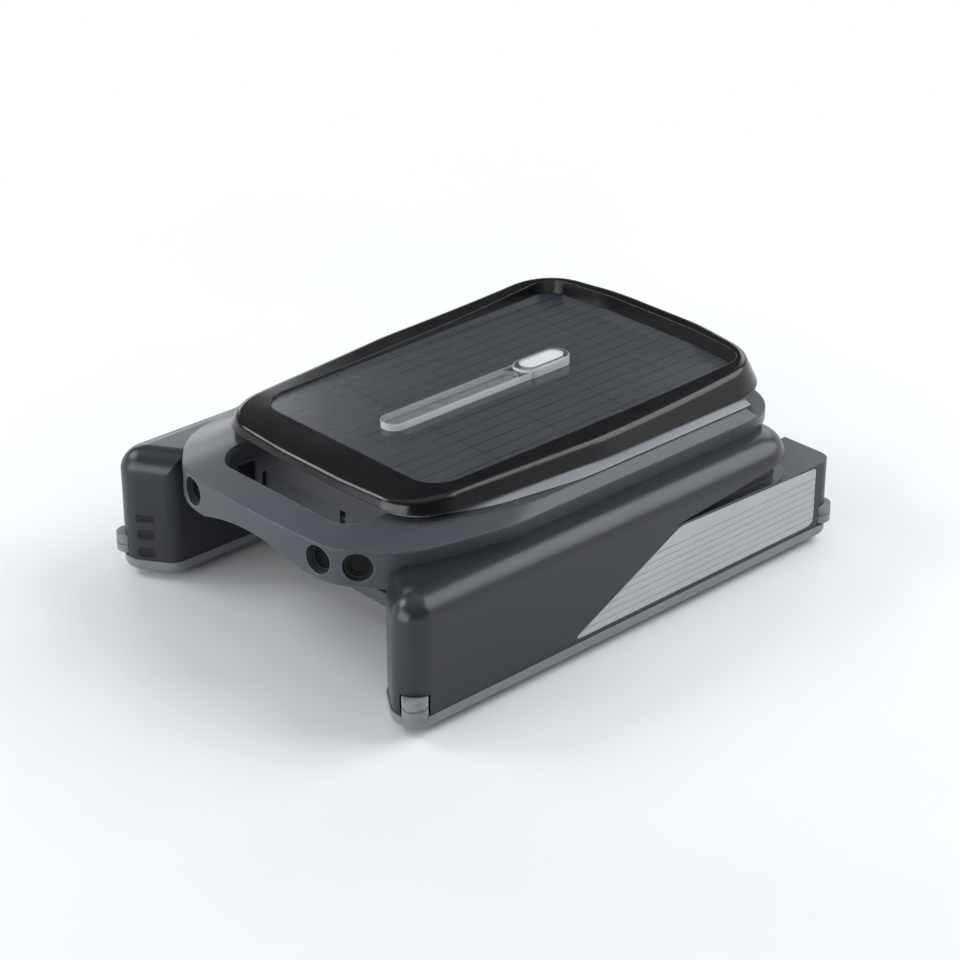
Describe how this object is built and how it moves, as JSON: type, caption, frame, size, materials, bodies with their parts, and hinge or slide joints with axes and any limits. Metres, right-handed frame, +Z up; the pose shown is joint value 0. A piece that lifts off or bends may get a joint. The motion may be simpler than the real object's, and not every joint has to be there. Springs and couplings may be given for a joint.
{
  "type": "solar pool skimmer",
  "caption": "Floating solar skimmer for pools: side floats under a bridge deck with a carrying bar, a rear-hinged solar lid, a debris basket with inward flaps and geared paddle wheels.",
  "frame": {"origin": "ground under the middle of the machine, at the feet's undersides", "axes": "+Z up, front towards -Y, right float at +X"},
  "size_m": [0.413, 0.524, 0.176],
  "materials": {
    "hull_grey": "satin",
    "deck_grey": "satin",
    "light_grey": "satin",
    "black_gloss": "gloss",
    "solar_cells": "satin glass",
    "clear_bar": "translucent",
    "button_white": "satin",
    "rubber": "matte",
    "sensor_black": "matte",
    "steel": "brushed",
    "bronze": "satin",
    "gear_white": "satin",
    "wheel_blue": "satin",
    "plate_black": "satin",
    "wrap_blue": "gloss",
    "board_green": "satin",
    "basket_grey": "satin",
    "mesh_dark": "matte"
  },
  "bodies": {
    "hull": {"axle_bushes": "bronze", "basket": "basket_grey", "basket_mesh": "mesh_dark", "charge_plug": "rubber", "deck": "deck_grey", "deck_screws": "steel", "feet": "rubber", "flap_pin": "steel", "left_battery_cradle": "plate_black", "left_battery_pack": "wrap_blue", "left_corner_sensor": "sensor_black", "left_float": "hull_grey", "left_front_sensor": "sensor_black", "left_gear_plate": "plate_black", "left_idler_pin": "steel", "left_motor": "steel", "left_side_cover": "light_grey", "left_tray": "hull_grey", "lid_hinge_pins": "steel", "right_battery_cradle": "plate_black", "right_battery_pack": "wrap_blue", "right_corner_sensor": "sensor_black", "right_float": "hull_grey", "right_front_sensor": "sensor_black", "right_gear_plate": "plate_black", "right_idler_pin": "steel", "right_motor": "steel", "right_side_cover": "light_grey", "right_tray": "hull_grey", "roller_pins": "steel", "sensor_grommets": "rubber", "tray_screws": "steel", "vent_plugs": "rubber"},
    "lid": {"panel_frame": "black_gloss", "lid_base": "light_grey", "solar_panel": "solar_cells", "light_bar": "clear_bar", "lamp_board": "gear_white", "control_board": "board_green", "lid_screws": "steel"},
    "button": {"power_button": "button_white"},
    "left_flap_body": {"left_flap": "basket_grey"},
    "right_flap_body": {"right_flap": "basket_grey"},
    "left_wheel": {"left_paddle_wheel": "wheel_blue", "left_wheel_gear": "gear_white", "left_axle": "steel"},
    "left_idler": {"left_idler_gear": "gear_white"},
    "left_motor_pinion": {"left_pinion": "gear_white"},
    "left_front_bumper": {"left_front_roller": "rubber"},
    "left_rear_bumper": {"left_rear_roller": "rubber"},
    "right_wheel": {"right_paddle_wheel": "wheel_blue", "right_wheel_gear": "gear_white", "right_axle": "steel"},
    "right_idler": {"right_idler_gear": "gear_white"},
    "right_motor_pinion": {"right_pinion": "gear_white"},
    "right_front_bumper": {"right_front_roller": "rubber"},
    "right_rear_bumper": {"right_rear_roller": "rubber"}
  },
  "joints": [
    {"name": "lid_hinge", "type": "hinge", "parent": "hull", "child": "lid", "pos_m": [0, 0.233, 0.139], "axis": [-1, 0, 0], "range_deg": [0, 95]},
    {"name": "button_press", "type": "slide", "parent": "lid", "child": "button", "axis": [0, 0, -1], "range_m": [0, 0.0012], "stiffness_N_per_m": 800, "springref_m": -0.001},
    {"name": "left_flap_swing", "type": "hinge", "parent": "hull", "child": "left_flap_body", "pos_m": [0, -0.159, 0.111], "axis": [1, 0, 0], "range_deg": [0, 70]},
    {"name": "left_wheel_spin", "type": "hinge", "parent": "hull", "child": "left_wheel", "pos_m": [0, 0.125, 0.052], "axis": [1, 0, 0], "continuous": true},
    {"name": "left_idler_spin", "type": "hinge", "parent": "hull", "child": "left_idler", "pos_m": [0, 0.08, 0.052], "axis": [1, 0, 0], "continuous": true},
    {"name": "left_pinion_spin", "type": "hinge", "parent": "hull", "child": "left_motor_pinion", "pos_m": [0, 0.05, 0.052], "axis": [1, 0, 0], "continuous": true},
    {"name": "left_front_roller_spin", "type": "hinge", "parent": "hull", "child": "left_front_bumper", "pos_m": [-0.1955, -0.251, 0.0285], "axis": [0, 0, 1], "continuous": true},
    {"name": "left_rear_roller_spin", "type": "hinge", "parent": "hull", "child": "left_rear_bumper", "pos_m": [-0.1955, 0.251, 0.0285], "axis": [0, 0, 1], "continuous": true},
    {"name": "right_flap_swing", "type": "hinge", "parent": "hull", "child": "right_flap_body", "pos_m": [0, -0.159, 0.111], "axis": [1, 0, 0], "range_deg": [0, 70]},
    {"name": "right_wheel_spin", "type": "hinge", "parent": "hull", "child": "right_wheel", "pos_m": [0, 0.125, 0.052], "axis": [1, 0, 0], "continuous": true},
    {"name": "right_idler_spin", "type": "hinge", "parent": "hull", "child": "right_idler", "pos_m": [0, 0.08, 0.052], "axis": [1, 0, 0], "continuous": true},
    {"name": "right_pinion_spin", "type": "hinge", "parent": "hull", "child": "right_motor_pinion", "pos_m": [0, 0.05, 0.052], "axis": [1, 0, 0], "continuous": true},
    {"name": "right_front_roller_spin", "type": "hinge", "parent": "hull", "child": "right_front_bumper", "pos_m": [0.1955, -0.251, 0.0285], "axis": [0, 0, 1], "continuous": true},
    {"name": "right_rear_roller_spin", "type": "hinge", "parent": "hull", "child": "right_rear_bumper", "pos_m": [0.1955, 0.251, 0.0285], "axis": [0, 0, 1], "continuous": true}
  ],
  "couplings": [
    {"joint": "left_idler_spin", "follows": "left_wheel_spin", "ratio": -1},
    {"joint": "left_pinion_spin", "follows": "left_wheel_spin", "ratio": 3},
    {"joint": "right_idler_spin", "follows": "right_wheel_spin", "ratio": -1},
    {"joint": "right_pinion_spin", "follows": "right_wheel_spin", "ratio": 3}
  ]
}
